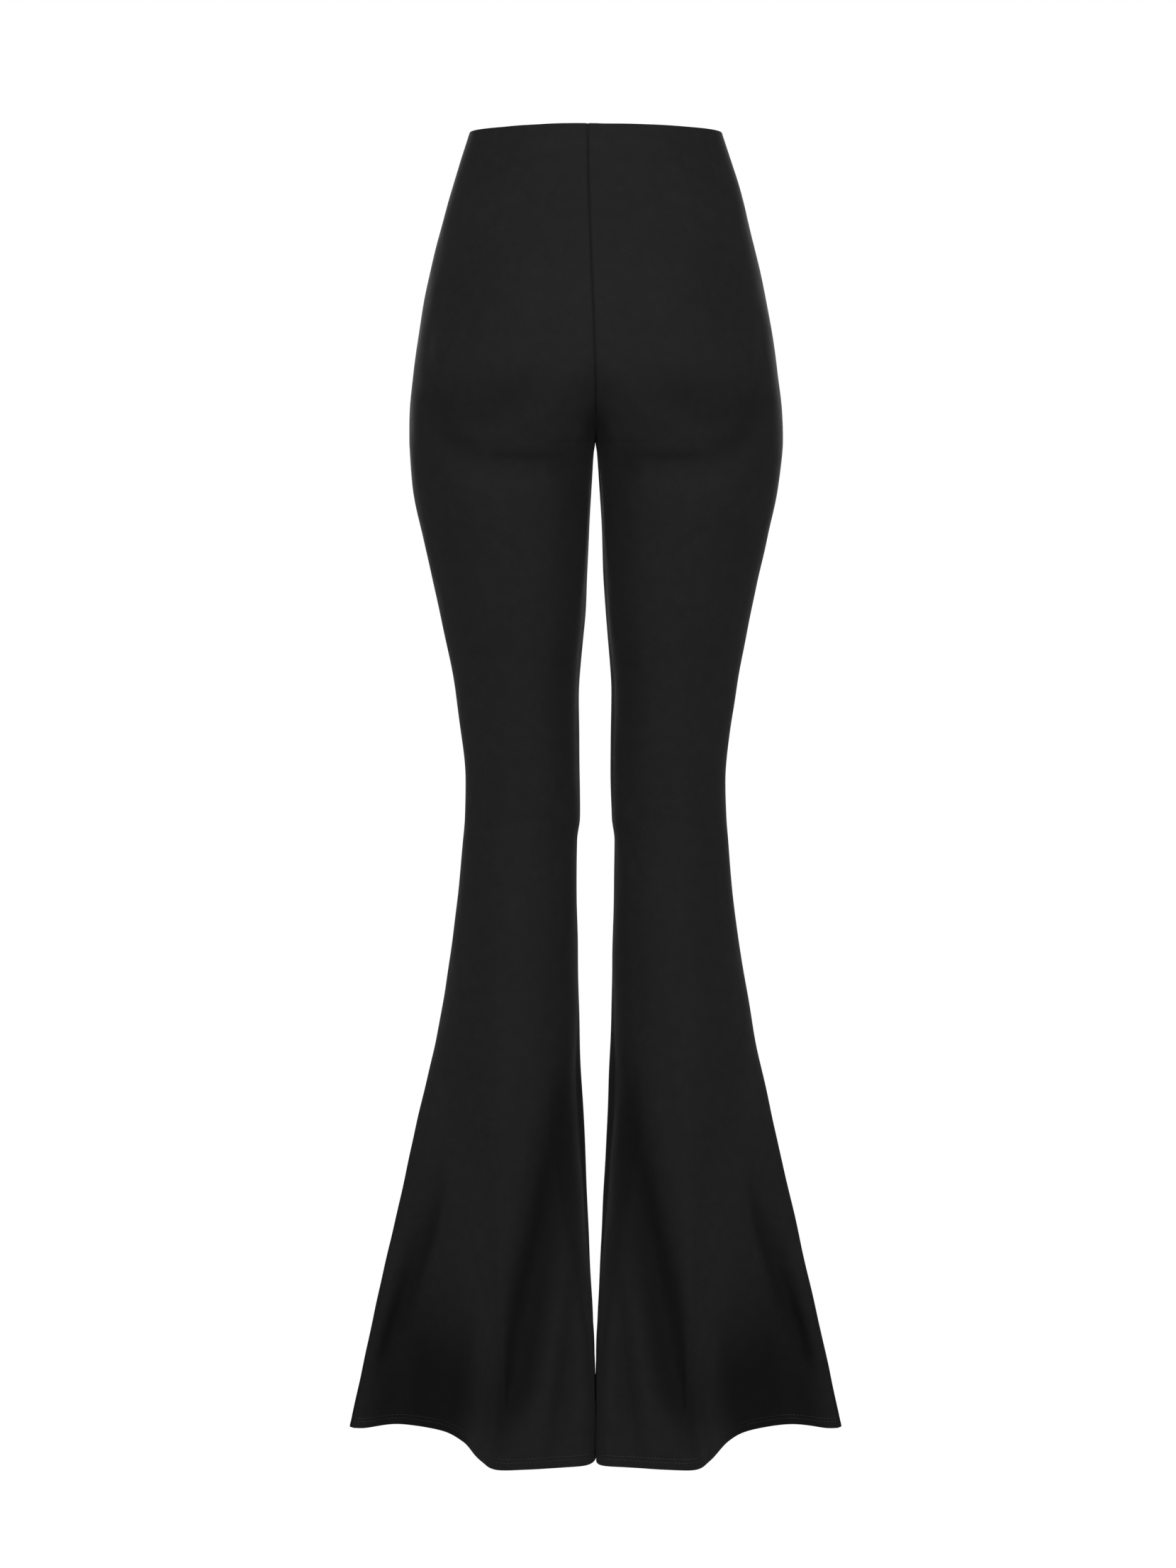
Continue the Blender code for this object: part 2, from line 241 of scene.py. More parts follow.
@dataclass
class Sheet:
    """Rows and columns of points of a cut piece.

    Each point has its distances from the two long edges, its place across its section as a share of the
    section's width, that width, and how far its form lies inside a round one, as a share of the reach.
    """

    points: np.ndarray
    from_side: np.ndarray
    from_inner: np.ndarray
    across: np.ndarray
    width: np.ndarray
    hollow: np.ndarray
    hem_drop: float

    @cached_property
    def drop(self) -> np.ndarray:
        """How far each point is below the waist edge."""
        return -self.points[..., 2]

    @cached_property
    def from_hem(self) -> np.ndarray:
        """How far each point is above the hem."""
        return self.hem_drop - self.drop

    @cached_property
    def from_seam(self) -> np.ndarray:
        """How far each point is from the nearer of the two long edges."""
        return np.minimum(self.from_side, self.from_inner)


@dataclass(frozen=True)
class WornShape:
    """The outer face of the worn trousers, as level sections of the right half."""

    crotch_drop: float = 0.264
    hem_drop: float = 1.130
    back_turn_under: float = 0.078
    front_turn_under: float = 0.060
    turn_under_ease: float = 1.6
    least_pinch: float = 0.001
    crotch_ease: float = 0.004
    flutes_start: float = 0.66
    flutes_ease: float = 1.25
    waist_side_dip: float = 0.0019
    waist_dip_reach: float = 0.06
    hem_back_dip: float = 0.008
    hem_front_rise: float = 0.004
    hem_slope_start: float = 0.85
    hem_slope_reach: float = 0.105
    seam_lean: float = 0.0068
    seam_lean_reach: float = 0.085
    seam_lean_end: float = 0.25
    seam_lean_behind: float = 0.03
    meeting_wave: float = 0.0022
    meeting_length: float = 0.085
    meeting_reach: float = 0.030
    meeting_start: float = 1.080
    meeting_run: float = 0.030
    side_seam_shift: float = 0.0035
    side_seam_shift_start: float = 1.02
    side_seam_shift_run: float = 0.09
    slip_steps: int = 4
    quarter_points: int = 150
    turn_steps: int = 24
    sections: tuple[Section, ...] = (
        Section(0.000, 0.1075, 0.0000, 0.0750, 0.0870, 0.000, 0.20, 2.00, 3.0),
        Section(0.046, 0.1220, 0.0000, 0.0870, 0.0935, 0.000, 0.20, 2.05, 3.0),
        Section(0.106, 0.1376, 0.0000, 0.1060, 0.0960, 0.000, 0.22, 2.10, 3.0),
        Section(0.160, 0.1491, 0.0000, 0.1205, 0.0930, 0.000, 0.27, 2.15, 3.0),
        Section(0.205, 0.1560, 0.0000, 0.1255, 0.0885, -0.001, 0.34, 2.20, 3.0),
        Section(0.240, 0.1595, 0.0000, 0.1195, 0.0850, -0.003, 0.41, 2.20, 3.2),
        Section(0.264, 0.1600, 0.0001, 0.1105, 0.0835, -0.004, 0.46, 2.20, 3.2),
        Section(0.275, 0.1595, 0.0015, 0.1075, 0.0830, -0.005, 0.48, 2.20, 3.1),
        Section(0.300, 0.1571, 0.0032, 0.1020, 0.0830, -0.005, 0.49, 2.20, 2.9),
        Section(0.348, 0.1479, 0.0053, 0.0930, 0.0815, -0.005, 0.50, 2.15, 2.6),
        Section(0.409, 0.1344, 0.0089, 0.0815, 0.0785, -0.003, 0.50, 2.10, 2.4),
        Section(0.483, 0.1209, 0.0141, 0.0670, 0.0720, 0.001, 0.50, 2.10, 2.2),
        Section(0.557, 0.1134, 0.0133, 0.0550, 0.0640, 0.004, 0.50, 2.10, 2.1),
        Section(0.590, 0.1139, 0.0137, 0.0540, 0.0603, 0.003, 0.50, 2.10, 2.1),
        Section(0.609, 0.1151, 0.0162, 0.0549, 0.0593, 0.002, 0.50, 2.10, 2.1),
        Section(0.631, 0.1168, 0.0165, 0.0570, 0.0580, 0.001, 0.50, 2.10, 2.1),
        Section(0.681, 0.1222, 0.0159, 0.0640, 0.0600, 0.000, 0.50, 2.10, 2.1),
        Section(0.781, 0.1391, 0.0133, 0.0770, 0.0690, -0.001, 0.50, 2.00, 2.1),
        Section(0.881, 0.1615, 0.0091, 0.0880, 0.0780, -0.001, 0.50, 2.00, 2.1),
        Section(0.982, 0.1847, 0.0047, 0.0980, 0.0870, -0.001, 0.50, 2.00, 2.1),
        Section(1.078, 0.2059, 0.0002, 0.1070, 0.0950, -0.001, 0.50, 2.00, 2.1),
        Section(1.130, 0.2168, 0.0001, 0.1110, 0.0990, -0.001, 0.50, 2.00, 2.1),
    )
    back_hem: tuple[Turn, ...] = (
        Turn(1.000, 0.000),
        Turn(0.940, 0.050),
        Turn(0.800, -0.060),
        Turn(0.650, 0.090),
        Turn(0.535, 0.370),
        Turn(0.460, 0.760),
        Turn(0.395, 0.990, fullest=True),
        Turn(0.270, 0.985),
        Turn(0.130, 0.930),
        Turn(0.012, 0.840),
        Turn(0.000, 0.500),
        Turn(0.000, 0.000),
    )
    front_hem: tuple[Turn, ...] = (
        Turn(1.000, 0.000),
        Turn(0.940, 0.170),
        Turn(0.810, 0.330),
        Turn(0.700, 0.560),
        Turn(0.610, 0.900),
        Turn(0.500, 1.000, fullest=True),
        Turn(0.380, 0.860),
        Turn(0.270, 0.680),
        Turn(0.150, 0.740),
        Turn(0.030, 0.700),
        Turn(0.000, 0.400),
        Turn(0.000, 0.000),
    )

    def section(self, drop: float) -> Section:
        """The named sizes of the level section at this drop."""
        return Section(*smooth_row(self.sections, drop))

    def reach(self, section: Section, face: Face) -> float:
        """How far a section reaches from its middle on this face."""
        return section.back + section.middle if face is Face.BACK else section.front - section.middle

    def pinch(self, drop: float, face: Face) -> float:
        """How far the section closes round the inner leg.

        Args:
            drop: The section's distance below the waist edge.
            face: The face to draw.

        Returns:
            A share: next to nothing across the seat, 1 at the crotch and below.
        """
        turn_under = self.back_turn_under if face is Face.BACK else self.front_turn_under
        height = (self.crotch_drop - drop) / turn_under
        if height <= 0.0:
            return 1.0
        return max(1.0 - min(height, 1.0) ** self.turn_under_ease, self.least_pinch)

    def round_quarters(self, section: Section, face: Face) -> tuple[np.ndarray, np.ndarray]:
        """Draws a round section's two quarters on one face.

        Args:
            section: The section's sizes.
            face: The face to draw.

        Returns:
            The outer quarter, from the side seam to the fullest point, and the inner quarter, from there to
            the centre seam or the inseam.
        """
        gap = section.gap if section.drop >= self.crotch_drop else 0.0
        fullest = gap + section.lobe * (section.outer - gap)
        reach = self.reach(section, face)
        sign = -1.0 if face is Face.BACK else 1.0
        angle = np.linspace(0.0, math.pi / 2, 2 * self.quarter_points + 1)
        power = 2.0 / section.outer_round
        outer_x = fullest + (section.outer - fullest) * np.cos(angle).clip(0.0) ** power
        outer_y = section.middle + sign * reach * np.sin(angle) ** power
        pinch = self.pinch(section.drop, face)
        power = 2.0 / section.inner_round
        angle = np.linspace(0.0, math.asin(pinch ** (1.0 / power)), 4 * self.quarter_points + 1)
        inner_x = fullest - (fullest - gap) * np.sin(angle) ** power / pinch
        inner_y = section.middle + sign * reach * np.cos(angle).clip(0.0) ** power
        return np.column_stack([outer_x, outer_y]), np.column_stack([inner_x, inner_y])

    @cached_property
    def fluted(self) -> dict[tuple[Face, bool], np.ndarray]:
        """The hem's four quarters in shares of width and reach, by face and by whether they are inner ones.

        The hem is a closed Catmull-Rom curve through its turns, back and front.
        """
        back = [(turn.across, -turn.depth) for turn in self.back_hem]
        front = [(turn.across, turn.depth) for turn in self.front_hem]
        loop = np.array(back + front[-2:0:-1])
        before, after, beyond = np.roll(loop, 1, 0), np.roll(loop, -1, 0), np.roll(loop, -2, 0)
        share = np.linspace(0.0, 1.0, self.turn_steps, endpoint=False)[None, :, None]
        a, b, c, d = (points[:, None, :] for points in (before, loop, after, beyond))
        bend = 2 * a - 5 * b + 4 * c - d + share * (3 * (b - c) + d - a)
        line = (b + 0.5 * share * (c - a + share * bend)).reshape(-1, 2)
        line = np.vstack([line, line[:1]])
        line[:, 0] = line[:, 0].clip(0.0, 1.0)
        inseam = (len(self.back_hem) - 1) * self.turn_steps
        back_full = [turn.fullest for turn in self.back_hem].index(True) * self.turn_steps
        front_full = len(line) - 1 - [turn.fullest for turn in self.front_hem].index(True) * self.turn_steps
        return {
            (Face.BACK, False): line[: back_full + 1],
            (Face.BACK, True): line[back_full : inseam + 1],
            (Face.FRONT, False): line[front_full:][::-1],
            (Face.FRONT, True): line[inseam : front_full + 1][::-1],
        }

    def flute_share(self, drop: float) -> float:
        """How far the flare has folded from a round leg, 0, to the hem's flutes, 1."""
        down = (drop - self.flutes_start) / (self.hem_drop - self.flutes_start)
        return float(smooth_step(max(down, 0.0) ** self.flutes_ease))

    def face_line(self, drop: float, face: Face) -> np.ndarray:
        """Draws one face of the right half's section.

        Args:
            drop: The section's distance below the waist edge.
            face: The face to draw.

        Returns:
            Points from the side seam to the centre seam or the inseam, one (x, y) a row.
        """
        section = self.section(drop)
        reach, folded = self.reach(section, face), self.flute_share(drop)
        quarters = []
        for inner, line in enumerate(self.round_quarters(section, face)):
            quarter = even_points(line, self.quarter_points)
            if folded > 0.0:
                plan = self.fluted[face, bool(inner)]
                across = section.gap + plan[:, 0] * (section.outer - section.gap)
                flute = np.column_stack([across, section.middle + plan[:, 1] * reach])
                quarter = (1.0 - folded) * quarter + folded * even_points(flute, self.quarter_points)
            quarters.append(quarter)
        return np.vstack([quarters[0], quarters[1][1:]])

    def seam_shift(self, drop: float) -> float:
        """How far the side seam has slipped to the back, near the hem."""
        return self.side_seam_shift * float(
            smooth_step((drop - self.side_seam_shift_start) / self.side_seam_shift_run)
        )

    def piece_line(self, drop: float, face: Face) -> np.ndarray:
        """Draws one piece's line, where the side seam has slipped to the back near the hem.

        Args:
            drop: The section's distance below the waist edge.
            face: The piece's face.

        Returns:
            Points from its side seam to its other edge, one (x, y) a row.
        """
        back = self.face_line(drop, Face.BACK)
        shift = self.seam_shift(drop)
        if face is Face.BACK:
            return points_at(back, np.linspace(shift, line_lengths(back)[-1], 2 * self.quarter_points + 1))
        front = self.face_line(drop, Face.FRONT)
        if shift == 0.0:
            return front
        slipped = points_at(back, np.linspace(shift, 0.0, self.slip_steps + 1))[:-1]
        return np.vstack([slipped, front])

    def settle(self, points: np.ndarray) -> np.ndarray:
        """Moves points by the small departures from level edges and upright seams.

        Args:
            points: Points of either half, (x, y, z) in the last axis.

        Returns:
            The moved points.
        """
        x, y, z = points[..., 0], points[..., 1], points[..., 2]
        drop = -z
        dip = smooth_step(np.abs(x) / self.sections[0].outer) * smooth_step(1.0 - drop / self.waist_dip_reach)
        low = np.clip((drop - self.hem_slope_start) / (self.hem_drop - self.hem_slope_start), 0.0, 1.0) ** 2
        slope = self.hem_back_dip * smooth_step(-y / self.hem_slope_reach)
        slope = slope - self.hem_front_rise * smooth_step(y / self.hem_slope_reach)
        lean = -self.seam_lean * (1.0 - smooth_step(drop / self.seam_lean_end))
        lean = lean * smooth_step(-y / self.seam_lean_behind)
        lean = lean * (1.0 - smooth_step(np.abs(x) / self.seam_lean_reach))
        meet = self.meeting_wave * smooth_step((drop - self.meeting_start) / self.meeting_run)
        meet = meet * (1.0 - smooth_step(np.abs(x) / self.meeting_reach))
        meet = meet * np.sin(2 * math.pi * y / self.meeting_length)
        return np.stack([x + lean + meet, y, z - self.waist_side_dip * dip - slope * low], axis=-1)


@dataclass(frozen=True)
class ClothFolds:
    """The folds pressed into the cloth, beyond the sections' own form, and the painted shade laid in them and
    in the flare's hollows.
    """

    clear_of_seam: float = 0.014
    cross_fade: float = 0.35
    # deep: the fold depth at which the painted shade in a fold is full.
    deep: float = 0.013
    # The hollow_ fields paint shade into the flare's hollows near the hem, where the form lies inside a round
    # leg.
    hollow_start: float = 0.97
    hollow_run: float = 0.12
    hollow_shade_gain: float = 1.25
    # The crotch_ fields paint a dark spot of shade where the four pieces meet at the crotch.
    crotch_drop: float = 0.254
    crotch_width: float = 0.009
    crotch_reach: float = 0.020
    crotch_shade: float = 0.95
    down: tuple[DownFold, ...] = (
        # The flare's back: the main valley, the narrow one by the inseam and a soft one above it, then the
        # valley by the outer edge and a faint one that runs out at the hem
        DownFold(Face.BACK, 0.740, 0.050, 1.060, 0.341, -0.001, 0.016, 0.022, 0.0145, 0.26, 0.075),
        DownFold(Face.BACK, 0.930, 0.040, 1.070, 0.130, 0.000, 0.006, 0.010, 0.0060, 0.12, 0.08),
        DownFold(Face.BACK, 0.720, 0.060, 0.900, 0.070, 0.000, 0.016, 0.018, 0.0042, 0.12, 0.12),
        DownFold(Face.BACK, 0.840, 0.765, 1.030, 0.880, 0.000, 0.010, 0.010, 0.0085, 0.14, 0.08),
        DownFold(Face.BACK, 0.960, 0.520, 1.130, 0.610, 0.000, 0.010, 0.014, 0.0025, 0.09, 0.03),
        # The inner thigh
        DownFold(Face.BACK, 0.270, 0.110, 0.500, 0.110, 0.000, 0.016, 0.013, 0.0032, 0.04, 0.12),
        # The same kind on the front
        DownFold(Face.FRONT, 0.790, 0.870, 1.070, 0.755, 0.003, 0.011, 0.015, 0.0090, 0.18, 0.08),
        DownFold(Face.FRONT, 0.770, 0.070, 1.070, 0.225, -0.002, 0.012, 0.016, 0.0110, 0.20, 0.08),
        DownFold(Face.FRONT, 0.930, 0.350, 1.090, 0.390, 0.000, 0.010, 0.014, 0.0050, 0.12, 0.06),
    )
    across: tuple[CrossFold, ...] = (
        # Under the seat: the fold, the fine crease in it, the light swell below it and a short drag line at
        # its outer end. Then the seat's fullness, the fall of its lower half, and a drag line on the thigh
        CrossFold(Face.BACK, 0.2830, 0.44, 0.00, 0.92, 0.011, 0.036, 0.0120, 1.4, 0.0042),
        CrossFold(Face.BACK, 0.2790, 0.34, 0.16, 0.56, 0.002, 0.004, 0.0030, 1.2, 0.0007),
        CrossFold(Face.BACK, 0.3200, 0.42, 0.06, 0.80, 0.010, 0.026, 0.0150, 1.4, -0.0008),
        CrossFold(Face.BACK, 0.2500, 0.66, 0.46, 0.97, 0.004, 0.026, 0.0080, 1.8, 0.0010),
        CrossFold(Face.BACK, 0.1950, 0.64, 0.26, 0.93, 0.000, 0.010, 0.0280, 1.0, -0.0028),
        CrossFold(Face.BACK, 0.2360, 0.66, 0.30, 0.93, 0.006, 0.008, 0.0210, 1.0, 0.0046),
        CrossFold(Face.BACK, 0.3420, 0.72, 0.50, 0.98, 0.004, 0.016, 0.0070, 1.3, 0.0007),
        # Behind the knee
        CrossFold(Face.BACK, 0.5560, 0.82, 0.58, 1.00, 0.006, -0.004, 0.0045, 1.2, 0.0009),
        CrossFold(Face.BACK, 0.5700, 0.20, 0.00, 0.45, -0.002, 0.005, 0.0045, 1.2, 0.0008),
        CrossFold(Face.BACK, 0.5890, 0.55, 0.15, 0.95, 0.007, 0.009, 0.0060, 1.2, 0.0006),
        # Across the front of the hip and the knee
        CrossFold(Face.FRONT, 0.2620, 0.30, 0.02, 0.86, 0.002, 0.030, 0.0070, 1.3, 0.0014),
        CrossFold(Face.FRONT, 0.2860, 0.34, 0.03, 0.70, 0.006, 0.022, 0.0060, 1.3, 0.0010),
        CrossFold(Face.FRONT, 0.5350, 0.50, 0.10, 0.90, 0.006, 0.008, 0.0070, 1.2, 0.0005),
    )
    ripples: tuple[Ripple, ...] = (
        Ripple(0.113, 0.171, 0.239, 0.6, 0.00030),
        Ripple(0.071, 0.097, -0.143, 2.1, 0.00022),
        Ripple(-0.047, 0.083, 0.089, 4.0, 0.00014),
        Ripple(0.031, -0.059, 0.061, 1.3, 0.00008),
    )

    def depth_at(self, face: Face, sheet: Sheet) -> np.ndarray:
        """Adds up the folds of one face.

        Args:
            face: The face that the points are on.
            sheet: The points, with their drops and their places across the section.

        Returns:
            How far the cloth is pressed in at each point.
        """
        drop, across, width = sheet.drop, sheet.across, sheet.width
        pressed = np.zeros_like(drop)
        for fold in (fold for fold in self.down if fold.face is face):
            down = (drop - fold.top_drop) / (fold.end_drop - fold.top_drop)
            centre = fold.top_across + (fold.end_across - fold.top_across) * down
            aside = (across - centre) * width - fold.bow * 4.0 * down * (1.0 - down)
            half_width = fold.top_width + (fold.end_width - fold.top_width) * np.clip(down, 0.0, 1.0)
            strength = smooth_step((drop - fold.top_drop) / fold.rise)
            strength = strength * (1.0 - smooth_step((drop - fold.end_drop) / fold.fade))
            pressed += fold.depth * strength * np.exp(-((aside / half_width) ** 2))
        for fold in (fold for fold in self.across if fold.face is face):
            away = across - fold.lowest_across
            inner_run, outer_run = fold.lowest_across - fold.inner_end, fold.outer_end - fold.lowest_across
            reach = np.where(away < 0, inner_run, outer_run)
            path = fold.drop - np.where(away < 0, fold.inner_rise, fold.outer_rise) * (away / reach) ** 2
            below = drop - path
            half_height = fold.half_height * np.where(below > 0, fold.low_side, 1.0)
            strength = smooth_step((1.0 - np.abs(away) / reach) / self.cross_fade)
            pressed += fold.depth * strength * np.exp(-((below / half_height) ** 2))
        return pressed

    def painted_shade_share(self, pressed: np.ndarray, sheet: Sheet) -> np.ndarray:
        """How much painted shade the cloth's colour takes at each point: 0 is none, 1 is full.

        Args:
            pressed: How far each point is pressed in.
            sheet: The points, and how hollow the form is at each.

        Returns:
            The share at each point.
        """
        # Painted shade: darker with a fold's depth and, near the hem, with how hollow the flare's form is.
        low = smooth_step((sheet.drop - self.hollow_start) / self.hollow_run)
        folded = smooth_step(pressed / self.deep) + low * self.hollow_shade_gain * sheet.hollow
        # A painted dark spot of shade at the crotch.
        aside = sheet.points[..., 0] / self.crotch_width
        below = (sheet.drop - self.crotch_drop) / self.crotch_reach
        away = np.hypot(aside, below)
        return np.clip(folded + self.crotch_shade * np.exp(-(away**2)), 0.0, 1.0)

    def ripple_at(self, points: np.ndarray) -> np.ndarray:
        """The cloth's slight unevenness, which differs from side to side.

        Args:
            points: Points of either half, (x, y, z) in the last axis.

        Returns:
            How far out the cloth swells at each point.
        """
        swell = np.zeros(points.shape[:-1])
        for wave in self.ripples:
            turns = points[..., 0] / wave.x_length + points[..., 1] / wave.y_length
            turns = turns + points[..., 2] / wave.z_length
            swell += wave.height * np.sin(2 * math.pi * turns + wave.phase)
        return swell


@dataclass(frozen=True)
class Sewing:
    """How the pieces are turned in, seamed and stitched."""

    seam_gap: float = 0.000004
    seam_roll: float = 0.0008
    seam_roll_width: float = 0.0012
    seam_edge: float = 0.0003
    allowance: float = 0.009
    allowance_fade: float = 0.0012
    allowance_rise: float = 0.0003
    waist_turn: float = 0.0165
    hem_turn: float = 0.012
    turn_step: float = 0.0004
    held_straight: float = 0.004
    cloth: float = 0.0012
    doubled: float = 0.0024
    stitch_rows: tuple[float, ...] = (0.006, 0.009)
    stitch_dip: float = 0.00025
    stitch_dip_width: float = 0.0008
    stitch_pull: float = 0.25
    stitch_pitch: float = 0.0032
    stitch_length: float = 0.0027
    thread_radius: float = 0.00019
    thread_lift: float = 0.5
    edge_steps: tuple[float, ...] = (0.0, 0.00012, 0.0003, 0.0006, 0.0010, 0.0016, 0.0025, 0.0038)
    waist_steps: tuple[float, ...] = (0.0060, 0.0090, 0.0125)
    hem_steps: tuple[float, ...] = (0.0046, 0.0053, 0.0060, 0.0067, 0.0075, 0.0083, 0.0090, 0.0097, 0.0106)


@dataclass(frozen=True)
class ShaderTree:
    """Adds nodes to one shader tree. An input is given as a socket to link, or else as a plain value."""

    tree: bpy.types.NodeTree

    def fill(self, node: bpy.types.Node, inputs: Inputs) -> None:
        """Links or sets inputs of a node, by their names or places."""
        for key, value in inputs.items():
            if isinstance(value, Socket):
                self.tree.links.new(value, node.inputs[key])
            else:
                node.inputs[key].default_value = value

    def add(self, kind: str, inputs: Inputs, operation: str = "") -> bpy.types.Node:
        """Adds a node.

        Args:
            kind: Its type.
            inputs: What goes into it, by names or places.
            operation: What it does with them, where it has a choice.

        Returns:
            The node.
        """
        node = self.tree.nodes.new(kind)
        if operation:
            node.operation = operation
        self.fill(node, inputs)
        return node

    def attribute(self, name: str, output: str) -> Socket:
        """Reads one of the mesh's attributes."""
        node = self.add("ShaderNodeAttribute", {})
        node.attribute_name = name
        return node.outputs[output]

    def maths(self, operation: str, *values: object) -> Socket:
        """Works out one number from one or two."""
        return self.add("ShaderNodeMath", dict(enumerate(values)), operation).outputs["Value"]

    def humps(self, turns: Socket, rate: float) -> Socket:
        """A row of humps, from 0 to 1: the size of a sine wave."""
        return self.maths("ABSOLUTE", self.maths("SINE", self.maths("MULTIPLY", turns, rate)))

    def noise(self, place: Socket, scale: object, detail: float) -> Socket:
        """Soft noise from 0 to 1."""
        inputs = {"Vector": place, "Scale": scale, "Detail": detail}
        return self.add("ShaderNodeTexNoise", inputs).outputs["Fac"]

    def between(self, value: Socket, low: float, high: float, full: float = 1.0) -> Socket:
        """Goes from low to high while the value goes from 0 to full, and stays there beyond."""
        inputs = {"Value": value, "From Max": full, "To Min": low, "To Max": high}
        return self.add("ShaderNodeMapRange", inputs).outputs["Result"]

    def scaled(self, colour: Triple, share: Socket) -> Socket:
        """A colour made darker or lighter by a share."""
        return self.add("ShaderNodeVectorMath", {0: colour, "Scale": share}, "SCALE").outputs["Vector"]


def new_material(name: str) -> tuple[bpy.types.Material, ShaderTree]:
    """A new node material and its shader tree."""
    material = bpy.data.materials.new(name)
    material.use_nodes = True
    return material, ShaderTree(material.node_tree)


def add_object(name: str, data: bpy.types.ID) -> bpy.types.Object:
    """Puts an object with this data into the scene."""
    made = bpy.data.objects.new(name, data)
    bpy.context.scene.collection.objects.link(made)
    return made


def add_mesh(name: str, mesh: bmesh.types.BMesh, materials: list[bpy.types.Material]) -> bpy.types.Object:
    """Puts a mesh in work into the scene as a smooth object, and frees it.

    Args:
        name: The object's name.
        mesh: The mesh in work.
        materials: Its finishes, in the order of its faces' material indices.

    Returns:
        The object.
    """
    data = bpy.data.meshes.new(name)
    mesh.to_mesh(data)
    mesh.free()
    data.shade_smooth()
    for material in materials:
        data.materials.append(material)
    return add_object(name, data)


@dataclass(frozen=True)
class KnitGrain:
    """The fine knit of the cloth: wales of leaning loops, pebbles over them, and a mottle of its tone.

    loop_lean and loop_rate place the loops, loop_share is their share of a wale's height, and knit_height and
    pebble_height are how far the knit and the pebbles stand out.
    """

    name: str = "knit grain"
    loop_lean: float = 0.6
    loop_rate: float = 1.3
    loop_share: float = 0.45
    knit_height: float = 0.45
    pebble_height: float = 0.9
    pebble_detail: float = 2.0
    mottle: tuple[Mottle, ...] = (Mottle(11.0, 3.0, 0.35), Mottle(85.0, 3.0, 0.40), Mottle(230.0, 2.0, 0.25))

    def group(self) -> bpy.types.NodeTree:
        """The knit as a node group, made once for the cloth's face, its wrong side and the thread.

        Returns:
            A group that takes Place, Wale and Pebble, in metres, and gives Height, Grain and Tone.
        """
        if self.name in bpy.data.node_groups:
            return bpy.data.node_groups[self.name]
        tree = bpy.data.node_groups.new(self.name, "ShaderNodeTree")
        tree.interface.new_socket("Place", in_out="INPUT", socket_type="NodeSocketVector")
        for way, names in (("INPUT", ("Wale", "Pebble")), ("OUTPUT", ("Height", "Grain", "Tone"))):
            for name in names:
                tree.interface.new_socket(name, in_out=way, socket_type="NodeSocketFloat")
        nodes, given = ShaderTree(tree), tree.nodes.new("NodeGroupInput").outputs
        place = nodes.add("ShaderNodeSeparateXYZ", {"Vector": given["Place"]}).outputs
        wales = nodes.humps(nodes.maths("DIVIDE", place["X"], given["Wale"]), math.pi)
        courses = nodes.maths("DIVIDE", place["Y"], given["Wale"])
        chevron = nodes.maths("ADD", courses, nodes.maths("MULTIPLY", wales, self.loop_lean))
        loops = nodes.maths("MULTIPLY", nodes.humps(chevron, math.pi * self.loop_rate), self.loop_share)
        knit = nodes.maths("MULTIPLY", wales, nodes.maths("ADD", loops, 1.0 - self.loop_share))
        scale = nodes.maths("DIVIDE", 1.0, given["Pebble"])
        pebbles = nodes.noise(given["Place"], scale, self.pebble_detail)
        height = nodes.maths("MULTIPLY", knit, self.knit_height)
        height = nodes.maths("ADD", height, nodes.maths("MULTIPLY", pebbles, self.pebble_height))
        layers = [
            nodes.maths("MULTIPLY", nodes.noise(given["Place"], layer.scale, layer.detail), layer.share)
            for layer in self.mottle
        ]
        tone = reduce(lambda total, layer: nodes.maths("ADD", total, layer), layers)
        nodes.add("NodeGroupOutput", {"Height": height, "Grain": pebbles, "Tone": tone})
        return tree

    def node(self, nodes: ShaderTree, place: Socket, wale: float, pebble: float) -> bpy.types.Node:
        """Adds the knit to a material.

        Args:
            nodes: The material's shader tree.
            place: The place on the cloth, in metres.
            wale: The width of a wale.
            pebble: The width of a pebble.

        Returns:
            The group's node.
        """
        node = nodes.add("ShaderNodeGroup", {})
        node.node_tree = self.group()
        nodes.fill(node, {"Place": place, "Wale": wale, "Pebble": pebble})
        return node


